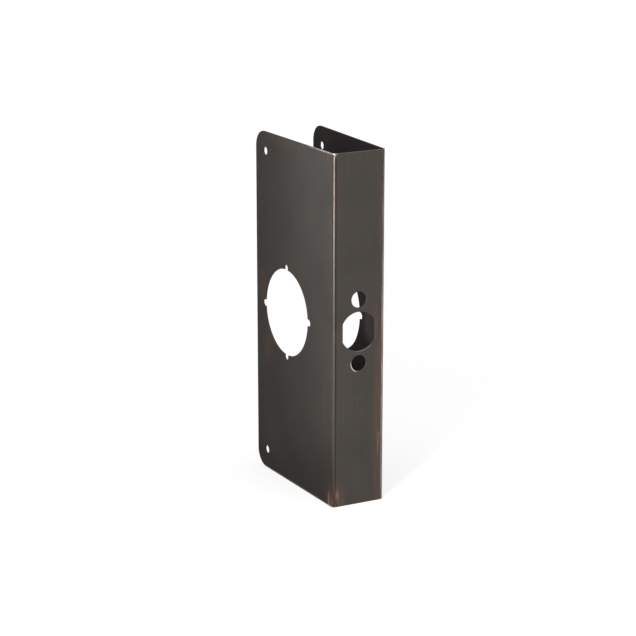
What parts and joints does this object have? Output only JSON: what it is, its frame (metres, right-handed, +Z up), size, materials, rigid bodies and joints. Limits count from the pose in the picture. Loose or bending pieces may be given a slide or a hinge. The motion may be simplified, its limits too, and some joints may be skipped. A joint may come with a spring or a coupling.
{
  "type": "door reinforcer plate",
  "caption": "Folded sheet channel that wraps the edge of a door, with a round cross bore through both legs, a latch hole in its web and screw holes.",
  "frame": {"origin": "the latch axis on the outer face of the web, halfway between the top and bottom edges", "axes": "+Z up along the door's edge, -Y out of the door's edge, the two legs run towards +Y on either side of x = 0"},
  "size_m": [0.0428, 0.1016, 0.2286],
  "materials": {
    "plate_finish": "satin oil-rubbed bronze, with copper showing where folds and edges are rubbed"
  },
  "bodies": {
    "root": {"reinforcer_plate": "plate_finish"}
  },
  "joints": []
}
